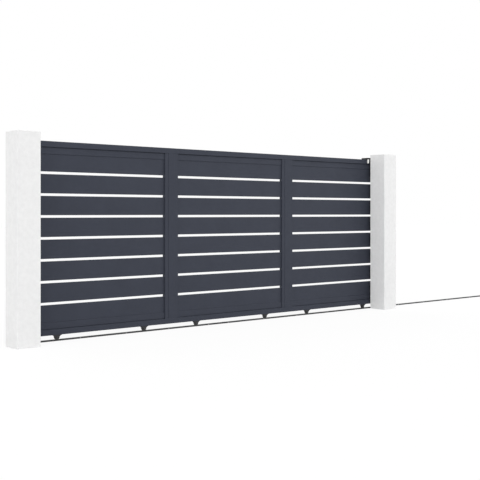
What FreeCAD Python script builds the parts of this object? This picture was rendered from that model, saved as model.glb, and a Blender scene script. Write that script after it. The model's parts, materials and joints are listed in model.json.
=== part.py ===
"""Sliding driveway gate: two rendered pillars, a three-bay slatted leaf on six grooved wheels,
the ground rail that it runs on, the guide that keeps it upright and the catch that it closes into.

The origin is the middle of the left pillar's base. +X runs along the gate towards the side that the
leaf slides to, +Y points from the street into the property and +Z is up. Sizes are in millimetres.
"""
import FreeCAD, Part
import os
import Sketcher

SIZES = {
    "pillar_side": 195,
    "pillar_rise": 50,
    "pillar_edge": 4,
    "opening_width": 4075,
    "leaf_setback": 20,
    "leaf_overlap": 50,
    "leaf_tail": 241,
    "leaf_lift": 48,
    "frame_depth": 40,
    "frame_wall": 2,
    "frame_edge": 1.5,
    "frame_band": 46,
    "core_width": 70,
    "lip_width": 36.5,
    "lip_step": 2.5,
    "channel_height": 56,
    "channel_step": 4.5,
    "channel_groove": 5,
    "channel_groove_depth": 4,
    "cap_thickness": 3,
    "slat_height": 154.5,
    "slat_thickness": 12,
    "slat_gap": 20,
    "slat_wall": 1.5,
    "slat_edge": 2,
    "slat_seat": 25,
    "slat_tuck": 14,
    "slat_play": 0.5,
    "rail_lead": 360,
    "rail_tail": 33,
    "rail_joint": 0.5,
    "rail_base_width": 46,
    "rail_base_thickness": 3,
    "rail_height": 12,
    "rail_head_radius": 6,
    "rail_hole_radius": 3.25,
    "rail_hole_side": 15,
    "rail_hole_end": 120,
    "wheel_offset": 289,
    "wheel_tread_radius": 19,
    "wheel_flange": 4,
    "wheel_hub_radius": 9,
    "wheel_width": 16,
    "wheel_side_gap": 2,
    "wheel_room": 4,
    "running_gap": 0.3,
    "axle_radius": 4,
    "axle_head_radius": 7,
    "axle_head_height": 3,
    "carrier_plate": 3,
    "carrier_length": 80,
    "carrier_width": 36,
    "carrier_corner": 5,
    "carrier_hole_radius": 2.75,
    "carrier_hole_offset": 33.5,
    "cheek_top": 75,
    "cheek_radius": 11,
    "stop_length": 50,
    "stop_width": 40,
    "stop_height": 32,
    "stop_edge": 6,
    "stop_gap": 5,
    "catch_length": 60,
    "catch_wall": 5,
    "catch_height": 250,
    "catch_level": 1000,
    "catch_room": 10,
    "catch_flare": 8,
    "catch_flare_length": 16,
    "catch_hole_radius": 5,
    "catch_hole_end": 45,
    "buffer_thickness": 12,
    "buffer_margin": 20,
    "buffer_gap": 0.5,
    "bracket_thickness": 5,
    "bracket_lip": 12,
    "bracket_reach": 48,
    "bracket_grip": 150,
    "bracket_drop": 110,
    "bracket_corner": 10,
    "bracket_margin": 16,
    "bracket_room": 5.5,
    "bracket_hole_radius": 5.5,
    "bracket_hole_end": 32,
    "bracket_hole_drop": 70,
    "roller_setback": 24,
    "roller_radius": 10,
    "roller_height": 40,
    "roller_edge": 1.5,
    "roller_gap": 0.5,
    "guide_grip": 101,
    "pin_radius": 4,
    "pin_head_radius": 5.5,
    "pin_head_height": 4,
    "pin_collar_radius": 5.5,
    "pin_washer_radius": 8,
    "pin_washer_height": 1.5,
    "pin_nut_across": 13,
    "pin_nut_height": 5,
    "pin_tip": 2,
    "slot_play": 0.3,
    "slot_travel": 6,
}
BAYS = 3
MULLIONS = BAYS - 1
WHEELS = 2 * BAYS
SLATS = 8
SLAT_CHAMBERS = 3
RAIL_SECTIONS = 4
RAIL_HOLES = 5

# Pillars, and the leaf's frame seen from above
HALF_SIDE = "Sizes.pillar_side / 2"
RIGHT_PILLAR_X = "(Sizes.pillar_side + Sizes.opening_width)"
RIGHT_PILLAR_FACE = "(Sizes.pillar_side / 2 + Sizes.opening_width)"
LEAF_LEFT = "(Sizes.pillar_side / 2 - Sizes.leaf_overlap)"
LEAF_LENGTH = "(Sizes.opening_width + Sizes.leaf_overlap + Sizes.leaf_tail)"
LEAF_Y = "(Sizes.pillar_side / 2 + Sizes.leaf_setback + Sizes.frame_depth / 2)"
HALF_DEPTH = "Sizes.frame_depth / 2"
HALF_LIP = "(Sizes.frame_depth / 2 - Sizes.lip_step)"
HALF_CHANNEL = "(Sizes.slat_thickness / 2 + Sizes.channel_step)"
HALF_SLOT = "(Sizes.slat_thickness / 2 + Sizes.slat_play)"
STILE_WIDTH = "(Sizes.core_width + Sizes.lip_width)"
MULLION_WIDTH = "(Sizes.core_width + 2 * Sizes.lip_width)"
BAY_CLEAR = f"(({LEAF_LENGTH} - {MULLIONS} * {MULLION_WIDTH} - 2 * {STILE_WIDTH}) / {BAYS})"
BAY_PITCH = f"({BAY_CLEAR} + {MULLION_WIDTH})"
FIRST_BAY_LINE = f"({LEAF_LEFT} + {STILE_WIDTH} - {MULLION_WIDTH} / 2)"
BUFFER_LEFT = f"({LEAF_LEFT} - Sizes.buffer_gap - Sizes.buffer_thickness)"
RAIL_TUBE_LENGTH = f"({LEAF_LENGTH} - 2 * Sizes.cap_thickness)"
RAIL_TUBE_LEFT = f"({LEAF_LEFT} + Sizes.cap_thickness)"

# Heights of the leaf, built up from its slats
SLAT_PITCH = "(Sizes.slat_height + Sizes.slat_gap)"
SLAT_STACK = f"({SLATS} * {SLAT_PITCH} - Sizes.slat_gap)"
SLAT_FOOT = "(Sizes.leaf_lift + Sizes.frame_band + Sizes.channel_height - Sizes.slat_tuck)"
POST_FOOT = "(Sizes.leaf_lift + Sizes.frame_band)"
POST_HEIGHT = f"({SLAT_STACK} + 2 * (Sizes.channel_height - Sizes.slat_tuck))"
LEAF_HEIGHT = f"({POST_HEIGHT} + 2 * Sizes.frame_band)"
LEAF_TOP = f"(Sizes.leaf_lift + {LEAF_HEIGHT})"
PILLAR_HEIGHT = f"({LEAF_TOP} + Sizes.pillar_rise)"

# Wheels, guide and travel
WHEEL_RIM = "(Sizes.wheel_tread_radius + Sizes.wheel_flange)"
AXLE_Z = "(Sizes.rail_height + Sizes.running_gap + Sizes.wheel_tread_radius)"
CHEEK_INSIDE = "(Sizes.wheel_width / 2 + Sizes.wheel_side_gap)"
CHEEK_OUTSIDE = f"({CHEEK_INSIDE} + Sizes.carrier_plate)"
WHEEL_SLOT = f"({WHEEL_RIM} + Sizes.wheel_room)"
GUIDE_X = f"({RIGHT_PILLAR_FACE} - Sizes.roller_setback)"
TRAVEL = f"({GUIDE_X} - Sizes.guide_grip - {LEAF_LEFT})"
PLATE_Z = f"({LEAF_TOP} + Sizes.bracket_room)"
ROLLER_FOOT = f"({LEAF_TOP} + Sizes.bracket_room / 2 - Sizes.roller_height)"
ROLLER_REACH = f"({HALF_DEPTH} + Sizes.roller_gap + Sizes.roller_radius)"

HALF_TURN = FreeCAD.Rotation(FreeCAD.Vector(0, 0, 1), 180)
UPSIDE_DOWN = FreeCAD.Rotation(FreeCAD.Vector(1, 0, 0), 180)

doc = FreeCAD.newDocument("SlidingGate")
sheet = doc.addObject("Spreadsheet::Sheet", "Sizes")
for row, (alias, value) in enumerate(SIZES.items(), start=1):
    sheet.set(f"A{row}", alias)
    sheet.set(f"B{row}", str(value))
    sheet.setAlias(f"B{row}", alias)
doc.recompute()
parts = []


def number(expression):
    """The present value of an expression over the sheet."""
    return float(sheet.evalExpression(expression))


def spot(corner):
    """A sketch point at a corner given by two expressions."""
    return FreeCAD.Vector(number(corner[0]), number(corner[1]), 0)


def opposite(corner):
    """The corner opposite this one through the sketch's origin."""
    return f"-({corner[0]})", f"-({corner[1]})"


def place(item, along="0", across="0", up="0", turn=None):
    """Binds an object's position to the sheet, after an optional fixed turn."""
    if turn is not None:
        item.Placement = FreeCAD.Placement(FreeCAD.Vector(), turn)
    for axis, expression in zip("xyz", (along, across, up)):
        item.setExpression(f".Placement.Base.{axis}", expression)


def new_part(label):
    """An empty body that becomes one piece of the gate."""
    body = doc.addObject("PartDesign::Body", label)
    body.Label = label
    parts.append(body)
    return body


def origin_feature(body, role):
    return next(item for item in body.Origin.OriginFeatures if item.Role == role)


def new_sketch(body, name, plane, offset=None):
    """A sketch on one of the body's planes, or at a distance in front of it."""
    sketch = body.newObject("Sketcher::SketchObject", f"{body.Name}_{name}")
    sketch.AttachmentSupport = (origin_feature(body, plane), [""])
    sketch.MapMode = "FlatFace"
    if offset is not None:
        sketch.setExpression(".AttachmentOffset.Base.z", offset)
    return sketch


def rule(sketch, *words):
    return sketch.addConstraint(Sketcher.Constraint(*words))


def bind(sketch, expression, *words):
    """Adds a dimension and ties it to the sheet."""
    index = rule(sketch, *words, number(expression))
    sketch.setExpression(f"Constraints[{index}]", expression)


def hold(sketch, geometry, point, corner):
    """Holds a point at named distances from the sketch's origin."""
    bind(sketch, corner[0], "DistanceX", -1, 1, geometry, point)
    bind(sketch, corner[1], "DistanceY", -1, 1, geometry, point)


def add_arc(sketch, start, through, end):
    """Adds an arc and returns it with the numbers of its end points nearest start and end."""
    arc = sketch.addGeometry(Part.Arc(start, through, end))
    stored = sketch.getPoint(arc, 1)
    forwards = stored.distanceToPoint(start) < stored.distanceToPoint(end)
    return (arc, 1, 2) if forwards else (arc, 2, 1)


def chain(sketch, points, arcs):
    """A closed outline through the points. Each stretch listed in arcs bends through the crown given
    there, about a centre that one dimension holds."""
    pieces = []
    for index, start in enumerate(points):
        ends = spot(start), spot(points[(index + 1) % len(points)])
        if index in arcs:
            pieces.append(add_arc(sketch, ends[0], spot(arcs[index][0]), ends[1]))
        else:
            pieces.append((sketch.addGeometry(Part.LineSegment(*ends)), 1, 2))
    for index, (piece, head, _) in enumerate(pieces):
        before, _, tail = pieces[index - 1]
        rule(sketch, "Coincident", before, tail, piece, head)
        hold(sketch, piece, head, points[index])
    for index, (_, kind, centre) in arcs.items():
        bind(sketch, centre, kind, -1, 1, pieces[index][0], 3)


def eased(corner, neighbour, radius):
    """The point on a level or upright side where the rounding of its corner ends."""
    across, up = corner
    run = spot(neighbour) - spot(corner)
    if abs(run.x) > abs(run.y):
        return f"{across} {'+' if run.x > 0 else '-'} {radius}", up
    return across, f"{up} {'+' if run.y > 0 else '-'} {radius}"


def outline(sketch, corners, radius=None, rounded=()):
    """A closed outline of straight sides. The corners listed as rounded join a level and an upright side."""
    points, arcs = [], {}
    for index, corner in enumerate(corners):
        if corner not in rounded:
            points.append(corner)
            continue
        entry = eased(corner, corners[index - 1], radius)
        leave = eased(corner, corners[(index + 1) % len(corners)], radius)
        centre = (entry[0], leave[1]) if entry[1] == corner[1] else (leave[0], entry[1])
        crown = [f"{middle} + ({edge} - ({middle})) * sqrt(0.5)" for middle, edge in zip(centre, corner)]
        arcs[len(points)] = (crown, "DistanceX", centre[0])
        points += [entry, leave]
    chain(sketch, points, arcs)


def rectangle(sketch, low, high, radius=None):
    corners = [low, (high[0], low[1]), high, (low[0], high[1])]
    outline(sketch, corners, radius, corners if radius else ())


def circle(sketch, centre, radius):
    ring = sketch.addGeometry(Part.Circle(spot(centre), FreeCAD.Vector(0, 0, 1), number(radius)))
    hold(sketch, ring, 3, centre)
    bind(sketch, radius, "Radius", ring)


def slot(sketch, centre, half_length, radius):
    """A round-ended slot that runs up the sketch."""
    across, up = centre
    left, right = f"{across} - {radius}", f"{across} + {radius}"
    low, high = f"{up} - {half_length}", f"{up} + {half_length}"
    arcs = {1: ((across, f"{high} + {radius}"), "DistanceY", high),
            3: ((across, f"{low} - {radius}"), "DistanceY", low)}
    chain(sketch, [(left, low), (left, high), (right, high), (right, low)], arcs)


def extrude(kind, body, sketch, length, both_ways, backwards):
    feature = body.newObject(f"PartDesign::{kind}", f"{sketch.Name}_{kind.lower()}")
    feature.Profile = sketch
    feature.setExpression("Length", length)
    feature.Midplane = both_ways
    feature.Reversed = backwards
    return feature


def pad(body, sketch, length, both_ways=False, backwards=False):
    return extrude("Pad", body, sketch, length, both_ways, backwards)


def pocket(body, sketch, length, both_ways=False, backwards=False):
    return extrude("Pocket", body, sketch, length, both_ways, backwards)


def revolve(body, sketch, axis):
    feature = body.newObject("PartDesign::Revolution", f"{sketch.Name}_turned")
    feature.Profile = sketch
    feature.ReferenceAxis = (origin_feature(body, axis), [""])
    feature.Angle = 360
    return feature


def repeat(body, feature, axis, spacing, count):
    """A straight row of copies of one feature."""
    row_of = body.newObject("PartDesign::LinearPattern", f"{feature.Name}_row")
    row_of.Originals = [feature]
    row_of.Direction = (origin_feature(body, axis), [""])
    row_of.Mode = "Spacing"
    row_of.setExpression("Offset", spacing)
    row_of.Occurrences = count
    body.Tip = row_of
    return row_of


def round_edges(body, feature, radius, wanted):
    """Rounds those edges of a feature that pass the test."""
    doc.recompute()
    names = [f"Edge{count}" for count, edge in enumerate(feature.Shape.Edges, start=1) if wanted(edge)]
    rounding = body.newObject("PartDesign::Fillet", f"{feature.Name}_rounded")
    rounding.Base = (feature, names)
    rounding.setExpression("Radius", radius)
    return rounding


def pillar(label, along):
    """A square masonry pillar with eased corners and top edges."""
    body = new_part(label)
    sketch = new_sketch(body, "plan", "XY_Plane")
    rectangle(sketch, (f"-{HALF_SIDE}", f"-{HALF_SIDE}"), (HALF_SIDE, HALF_SIDE))
    shaft = pad(body, sketch, PILLAR_HEIGHT)
    round_edges(body, shaft, "Sizes.pillar_edge", lambda edge: edge.CenterOfMass.z > 0)
    place(body, along)


def wheel_x(index):
    """Where a wheel stands: two to a bay, set in from the bay's end lines."""
    bay, far_side = divmod(index, 2)
    line = f"{FIRST_BAY_LINE} + {bay + far_side} * {BAY_PITCH}"
    return f"({line} {'-' if far_side else '+'} Sizes.wheel_offset)"


RAIL_START = f"({wheel_x(0)} - Sizes.rail_lead)"
STOP_X = f"({wheel_x(WHEELS - 1)} + {TRAVEL} + {WHEEL_RIM} + Sizes.stop_gap)"
RAIL_REACH = f"({STOP_X} + Sizes.stop_length + Sizes.rail_tail - {RAIL_START})"
RAIL_JOINTS = f"{RAIL_SECTIONS - 1} * Sizes.rail_joint"
RAIL_SECTION = f"(({RAIL_REACH} - {RAIL_JOINTS}) / {RAIL_SECTIONS})"


def rail_section(index):
    """One length of ground rail: a drilled flat base under a round-topped bead that the wheels straddle."""
    body = new_part(f"rail_section_{index + 1}")
    sketch = new_sketch(body, "profile", "YZ_Plane")
    bead = "Sizes.rail_head_radius"
    base = "Sizes.rail_base_width / 2"
    crown = "(Sizes.rail_height - Sizes.rail_head_radius)"
    floor = "Sizes.rail_base_thickness"
    path = [(f"-{bead}", crown), (f"-{bead}", floor), (f"-{base}", floor), (f"-{base}", "0"),
            (base, "0"), (base, floor), (bead, floor), (bead, crown)]
    chain(sketch, path, {len(path) - 1: (("0", "Sizes.rail_height"), "DistanceY", crown)})
    pad(body, sketch, RAIL_SECTION)
    holes = new_sketch(body, "fixings", "XY_Plane")
    for side in ("-", ""):
        circle(holes, ("Sizes.rail_hole_end", f"{side}Sizes.rail_hole_side"), "Sizes.rail_hole_radius")
    drilled = pocket(body, holes, "Sizes.rail_base_thickness", backwards=True)
    spacing = f"({RAIL_SECTION} - 2 * Sizes.rail_hole_end) / {RAIL_HOLES - 1}"
    repeat(body, drilled, "X_Axis", spacing, RAIL_HOLES)
    place(body, f"{RAIL_START} + {index} * ({RAIL_SECTION} + Sizes.rail_joint)", LEAF_Y)


def rail_end_stop():
    """A saddle block over the rail that the last wheel meets when the gate is fully open."""
    body = new_part("rail_end_stop")
    sketch = new_sketch(body, "profile", "YZ_Plane")
    side = "Sizes.stop_width / 2"
    bead = "Sizes.rail_head_radius"
    floor = "Sizes.rail_base_thickness"
    top = [(side, "Sizes.stop_height"), (f"-{side}", "Sizes.stop_height")]
    corners = [(f"-{side}", floor), (f"-{bead}", floor), (f"-{bead}", "Sizes.rail_height"),
               (bead, "Sizes.rail_height"), (bead, floor), (side, floor)] + top
    outline(sketch, corners, "Sizes.stop_edge", top)
    pad(body, sketch, "Sizes.stop_length")
    place(body, STOP_X, LEAF_Y)


def tube_rail(label, up):
    """A hollow rail that runs the length of the leaf between its end caps."""
    body = new_part(label)
    sketch = new_sketch(body, "profile", "YZ_Plane")
    wall = "Sizes.frame_wall"
    tall = "Sizes.frame_band"
    rectangle(sketch, (f"-{HALF_DEPTH}", "0"), (HALF_DEPTH, tall), "Sizes.frame_edge")
    rectangle(sketch, (f"-({HALF_DEPTH} - {wall})", wall), (f"{HALF_DEPTH} - {wall}", f"{tall} - {wall}"))
    pad(body, sketch, RAIL_TUBE_LENGTH)
    place(body, RAIL_TUBE_LEFT, LEAF_Y, up)
    return body


def bottom_rail():
    """The lower rail, slotted underneath where the wheels rise into it."""
    body = tube_rail("bottom_rail", "Sizes.leaf_lift")
    slots = new_sketch(body, "wheel_slots", "XY_Plane")
    for index in range(WHEELS):
        middle = f"({wheel_x(index)} - {RAIL_TUBE_LEFT})"
        left, right = f"{middle} - {WHEEL_SLOT}", f"{middle} + {WHEEL_SLOT}"
        rectangle(slots, (left, f"-{CHEEK_INSIDE}"), (right, CHEEK_INSIDE))
    pocket(body, slots, "Sizes.frame_wall", backwards=True)


def rail_end_caps():
    """Flat caps that close both ends of the top and bottom rails."""
    body = new_part("rail_end_caps")
    sketch = new_sketch(body, "ends", "YZ_Plane")
    for foot, head in (("0", "Sizes.frame_band"), (f"({LEAF_HEIGHT} - Sizes.frame_band)", LEAF_HEIGHT)):
        rectangle(sketch, (f"-{HALF_DEPTH}", foot), (HALF_DEPTH, head), "Sizes.frame_edge")
    caps = pad(body, sketch, "Sizes.cap_thickness")
    repeat(body, caps, "X_Axis", f"{LEAF_LENGTH} - Sizes.cap_thickness", 2)
    place(body, LEAF_LEFT, LEAF_Y, "Sizes.leaf_lift")


def slotted_lip(inner, outer):
    """Corners of a lip with a slot in its edge, from the core's front face round to its back face."""
    wall = "Sizes.frame_wall"
    inside = f"({HALF_LIP} - {wall})"
    front = [(inner, HALF_LIP), (outer, HALF_LIP), (outer, HALF_SLOT),
             (f"{outer} - {wall}", HALF_SLOT), (f"{outer} - {wall}", inside), (inner, inside)]
    back = [(across, f"-({depth})") for across, depth in reversed(front)]
    return front + back


def stile(label, along, turn=None):
    """An end upright: a hollow core with one slotted lip that takes the slats' ends."""
    body = new_part(label)
    sketch = new_sketch(body, "plan", "XY_Plane")
    core = "Sizes.core_width"
    wall = "Sizes.frame_wall"
    corners = [("0", HALF_DEPTH), (core, HALF_DEPTH)] + slotted_lip(core, STILE_WIDTH)
    corners += [(core, f"-{HALF_DEPTH}"), ("0", f"-{HALF_DEPTH}")]
    outer = [corner for corner in corners if corner[1].endswith(HALF_DEPTH)]
    outline(sketch, corners, "Sizes.frame_edge", outer)
    rectangle(sketch, (wall, f"-({HALF_DEPTH} - {wall})"), (f"{core} - {wall}", f"{HALF_DEPTH} - {wall}"))
    pad(body, sketch, POST_HEIGHT)
    place(body, along, LEAF_Y, POST_FOOT, turn)


def mullion(index):
    """A middle upright: a hollow core with a slotted lip on both sides."""
    body = new_part(f"mullion_{index + 1}")
    sketch = new_sketch(body, "plan", "XY_Plane")
    core = "Sizes.core_width / 2"
    wall = "Sizes.frame_wall"
    front, back = (core, HALF_DEPTH), (core, f"-({HALF_DEPTH})")
    right = [front] + slotted_lip(core, f"{MULLION_WIDTH} / 2") + [back]
    outline(sketch, right + [opposite(corner) for corner in right], "Sizes.frame_edge",
            [front, back, opposite(front), opposite(back)])
    hollow = (f"{core} - {wall}", f"{HALF_DEPTH} - {wall}")
    rectangle(sketch, opposite(hollow), hollow)
    pad(body, sketch, POST_HEIGHT)
    place(body, f"{FIRST_BAY_LINE} + {index + 1} * {BAY_PITCH}", LEAF_Y, POST_FOOT)


def bay_left(index):
    return f"({LEAF_LEFT} + {STILE_WIDTH} + {index} * {BAY_PITCH})"


def channel(label, index, up, turn=None):
    """A slotted channel along one bay, set back from the uprights' lips, that holds the outermost slat's
    long edge. Its narrower foot leaves a shadow groove beside the rail that it stands on."""
    body = new_part(f"{label}_{index + 1}")
    sketch = new_sketch(body, "profile", "YZ_Plane")
    wall = "Sizes.frame_wall"
    tall = "Sizes.channel_height"
    groove = "Sizes.channel_groove"
    foot = f"({HALF_CHANNEL} - Sizes.channel_groove_depth)"
    inside = f"({HALF_CHANNEL} - {wall})"
    shoulder = (HALF_CHANNEL, tall)
    right = [(foot, "0"), (foot, groove), (HALF_CHANNEL, groove), shoulder, (HALF_SLOT, tall),
             (HALF_SLOT, f"{tall} - {wall}"), (inside, f"{tall} - {wall}"), (inside, f"{groove} + {wall}"),
             (f"{foot} - {wall}", f"{groove} + {wall}"), (f"{foot} - {wall}", wall)]
    left = [(f"-({across})", level) for across, level in reversed(right)]
    outline(sketch, right + left, "Sizes.frame_edge", [shoulder, (f"-({HALF_CHANNEL})", tall)])
    pad(body, sketch, BAY_CLEAR, both_ways=True)
    place(body, f"{bay_left(index)} + {BAY_CLEAR} / 2", LEAF_Y, up, turn)


def slat_bay(index):
    """The slats of one bay: hollow boards with inner ribs, their ends in the uprights' slots."""
    body = new_part(f"slats_bay_{index + 1}")
    sketch = new_sketch(body, "profile", "YZ_Plane")
    half = "Sizes.slat_thickness / 2"
    wall = "Sizes.slat_wall"
    rectangle(sketch, (f"-{half}", "0"), (half, "Sizes.slat_height"), "Sizes.slat_edge")
    chamber = f"((Sizes.slat_height - {SLAT_CHAMBERS + 1} * {wall}) / {SLAT_CHAMBERS})"
    for cell in range(SLAT_CHAMBERS):
        foot = f"({wall} + {cell} * ({chamber} + {wall}))"
        rectangle(sketch, (f"-({half} - {wall})", foot), (f"{half} - {wall}", f"{foot} + {chamber}"))
    board = pad(body, sketch, f"{BAY_CLEAR} + 2 * Sizes.slat_seat")
    repeat(body, board, "Z_Axis", SLAT_PITCH, SLATS)
    place(body, f"{bay_left(index)} - Sizes.slat_seat", LEAF_Y, SLAT_FOOT)


def slat_spacers():
    """The blocks in the uprights' slots that carry the lowest slats and part the slats above."""
    body = new_part("slat_spacers")
    half = "Sizes.slat_thickness / 2"
    foot = new_sketch(body, "feet", "XY_Plane", f"-({SLAT_FOOT} - {POST_FOOT})")
    between = new_sketch(body, "between", "XY_Plane", "Sizes.slat_height")
    for sketch in (foot, between):
        for index in range(BAYS):
            left = f"({bay_left(index)} - {LEAF_LEFT})"
            for near in (f"({left} - Sizes.slat_seat)", f"({left} + {BAY_CLEAR})"):
                rectangle(sketch, (near, f"-{half}"), (f"{near} + Sizes.slat_seat", half))
    pad(body, foot, f"{SLAT_FOOT} - {POST_FOOT}")
    blocks = pad(body, between, "Sizes.slat_gap")
    repeat(body, blocks, "Z_Axis", SLAT_PITCH, SLATS - 1)
    place(body, LEAF_LEFT, LEAF_Y, SLAT_FOOT)


def wheel_carrier(index):
    """A yoke under the leaf: a slotted plate with two tapered cheeks that hold the axle."""
    body = new_part(f"wheel_carrier_{index + 1}")
    drop = f"{AXLE_Z} - Sizes.leaf_lift"
    plate = new_sketch(body, "plate", "XY_Plane")
    far_corner = ("Sizes.carrier_length / 2", "Sizes.carrier_width / 2")
    rectangle(plate, opposite(far_corner), far_corner, "Sizes.carrier_corner")
    pad(body, plate, "Sizes.carrier_plate", backwards=True)
    cheek = new_sketch(body, "cheek", "XZ_Plane")
    half = "Sizes.cheek_top / 2"
    radius = "Sizes.cheek_radius"
    lean = f"(atan(-({drop}) / ({half})) - acos({radius} / sqrt(({half})^2 + ({drop})^2)))"
    touch = f"{radius} * cos({lean})", f"{drop} + {radius} * sin({lean})"
    path = [(half, "0"), (f"-{half}", "0"), (f"-{touch[0]}", touch[1]), touch]
    chain(cheek, path, {2: (("0", f"{drop} - {radius}"), "DistanceY", drop)})
    pad(body, cheek, f"2 * {CHEEK_OUTSIDE}", both_ways=True)
    gap = new_sketch(body, "wheel_gap", "YZ_Plane")
    low_corner = (f"-{CHEEK_INSIDE}", f"{drop} - 2 * Sizes.cheek_radius")
    rectangle(gap, low_corner, (CHEEK_INSIDE, "-Sizes.carrier_plate"))
    pocket(body, gap, "Sizes.cheek_top", both_ways=True)
    cuts = new_sketch(body, "wheel_slot", "XY_Plane")
    rectangle(cuts, (f"-{WHEEL_SLOT}", f"-{CHEEK_INSIDE}"), (WHEEL_SLOT, CHEEK_INSIDE))
    for side in ("-", ""):
        circle(cuts, (f"{side}Sizes.carrier_hole_offset", "0"), "Sizes.carrier_hole_radius")
    pocket(body, cuts, "Sizes.carrier_plate")
    bore = new_sketch(body, "bore", "XZ_Plane")
    circle(bore, ("0", drop), "Sizes.axle_radius")
    pocket(body, bore, "2 * Sizes.carrier_width", both_ways=True)
    place(body, wheel_x(index), LEAF_Y, "Sizes.leaf_lift")


def wheel_axles():
    """The six axle pins, each with a head outside either cheek."""
    body = new_part("wheel_axles")
    blanks = new_sketch(body, "heads", "XZ_Plane")
    waists = new_sketch(body, "waists", "XZ_Plane")
    for index in range(WHEELS):
        centre = (f"{wheel_x(index)} - {wheel_x(0)}", "0")
        circle(blanks, centre, "Sizes.axle_head_radius")
        circle(waists, centre, "Sizes.axle_radius")
        circle(waists, centre, "2 * Sizes.axle_head_radius")
    pad(body, blanks, f"2 * ({CHEEK_OUTSIDE} + Sizes.axle_head_height)", both_ways=True)
    pocket(body, waists, f"2 * {CHEEK_OUTSIDE}", both_ways=True)
    place(body, wheel_x(0), LEAF_Y, AXLE_Z)


def wheel(index):
    """A turned wheel: hub bosses that keep it between the cheeks and a groove fitted to the rail's bead."""
    body = new_part(f"wheel_{index + 1}")
    sketch = new_sketch(body, "section", "XY_Plane")
    half = "Sizes.wheel_width / 2"
    boss = f"({CHEEK_INSIDE} - Sizes.running_gap)"
    hub = "Sizes.wheel_hub_radius"
    bore = "(Sizes.axle_radius + Sizes.running_gap)"
    groove = "(Sizes.rail_head_radius + Sizes.running_gap)"
    centre = f"(Sizes.wheel_tread_radius + {groove})"
    mouth = f"sqrt({groove}^2 - ({centre} - {WHEEL_RIM})^2)"
    near = [(bore, boss), (hub, boss), (hub, half), (WHEEL_RIM, half), (WHEEL_RIM, mouth)]
    path = [(out, f"-({along})") for out, along in reversed(near)] + near
    chain(sketch, path, {len(path) - 1: (("Sizes.wheel_tread_radius", "0"), "DistanceX", centre)})
    revolve(body, sketch, "Y_Axis")
    place(body, wheel_x(index), LEAF_Y, AXLE_Z)


def leaf_catch():
    """The channel on the left pillar that the leaf's edge closes into, flared at its free side."""
    body = new_part("leaf_catch")
    sketch = new_sketch(body, "plan", "XY_Plane")
    wall = "Sizes.catch_wall"
    reach = "Sizes.catch_length"
    bend = "(Sizes.catch_length - Sizes.catch_flare_length)"
    inside = "(Sizes.leaf_setback + Sizes.frame_depth + Sizes.catch_room)"
    outside = f"({inside} + {wall})"
    outline(sketch, [("0", "0"), (reach, "0"), (reach, wall), (wall, wall), (wall, inside), (bend, inside),
                     (reach, f"{inside} + Sizes.catch_flare"), (reach, f"{outside} + Sizes.catch_flare"),
                     (bend, outside), ("0", outside)])
    pad(body, sketch, "Sizes.catch_height")
    holes = new_sketch(body, "anchor_holes", "XZ_Plane")
    middle = f"({reach} + {wall}) / 2"
    for level in ("Sizes.catch_hole_end", "Sizes.catch_height - Sizes.catch_hole_end"):
        circle(holes, (middle, level), "Sizes.catch_hole_radius")
    pocket(body, holes, f"2 * {wall}", both_ways=True)
    place(body, f"{BUFFER_LEFT} - {wall}", HALF_SIDE, "Sizes.catch_level")


def catch_buffer():
    """The rubber pad inside the catch."""
    body = new_part("catch_buffer")
    sketch = new_sketch(body, "plan", "XY_Plane")
    rectangle(sketch, ("0", f"-{HALF_DEPTH}"), ("Sizes.buffer_thickness", HALF_DEPTH))
    pad(body, sketch, "Sizes.catch_height - 2 * Sizes.buffer_margin")
    place(body, BUFFER_LEFT, LEAF_Y, "Sizes.catch_level + Sizes.buffer_margin")


def guide_bracket():
    """The angle on the right pillar whose lipped plate over the leaf carries the guide rollers."""
    body = new_part("guide_bracket")
    plate = new_sketch(body, "plate", "XY_Plane")
    front = f"({LEAF_Y} - {ROLLER_REACH} - Sizes.bracket_margin)"
    rear = f"({LEAF_Y} + {ROLLER_REACH} + Sizes.bracket_margin)"
    step = "(Sizes.roller_setback - Sizes.bracket_room)"
    face = "(Sizes.roller_setback + Sizes.bracket_room)"
    tip = "(Sizes.roller_setback - Sizes.bracket_reach)"
    root = "(Sizes.roller_setback + Sizes.bracket_grip)"
    wall = "Sizes.bracket_thickness"
    corners = [(tip, front), (step, front), (step, HALF_SIDE), (root, HALF_SIDE), (root, rear), (tip, rear)]
    outline(plate, corners, "Sizes.bracket_corner", [corners[0], corners[4], corners[5]])
    pad(body, plate, "Sizes.bracket_lip")
    tray = new_sketch(body, "tray", "XY_Plane", "Sizes.bracket_lip")
    inner_tip, inner_front, inner_rear = f"({tip} + {wall})", f"({front} + {wall})", f"({rear} - {wall})"
    hollow = [(inner_tip, inner_front), (step, inner_front), (step, HALF_SIDE), (root, HALF_SIDE),
              (root, inner_rear), (inner_tip, inner_rear)]
    outline(tray, hollow, f"(Sizes.bracket_corner - {wall})", [hollow[0], hollow[5]])
    pocket(body, tray, f"Sizes.bracket_lip - {wall}")
    leg = new_sketch(body, "leg", "XY_Plane")
    rectangle(leg, (face, HALF_SIDE), (root, f"{HALF_SIDE} + {wall}"))
    pad(body, leg, "Sizes.bracket_drop", backwards=True)
    slots = new_sketch(body, "pin_slots", "XY_Plane")
    slot_radius = "(Sizes.pin_radius + Sizes.slot_play)"
    for side in ("-", "+"):
        slot(slots, ("0", f"({LEAF_Y} {side} {ROLLER_REACH})"), "Sizes.slot_travel", slot_radius)
    pocket(body, slots, wall, backwards=True)
    holes = new_sketch(body, "anchor_holes", "XZ_Plane", f"-{HALF_SIDE}")
    for along in (f"{face} + Sizes.bracket_hole_end", f"{root} - Sizes.bracket_hole_end"):
        circle(holes, (along, "-Sizes.bracket_hole_drop"), "Sizes.bracket_hole_radius")
    pocket(body, holes, f"2 * {wall}", both_ways=True)
    place(body, GUIDE_X, "0", PLATE_Z)


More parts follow.
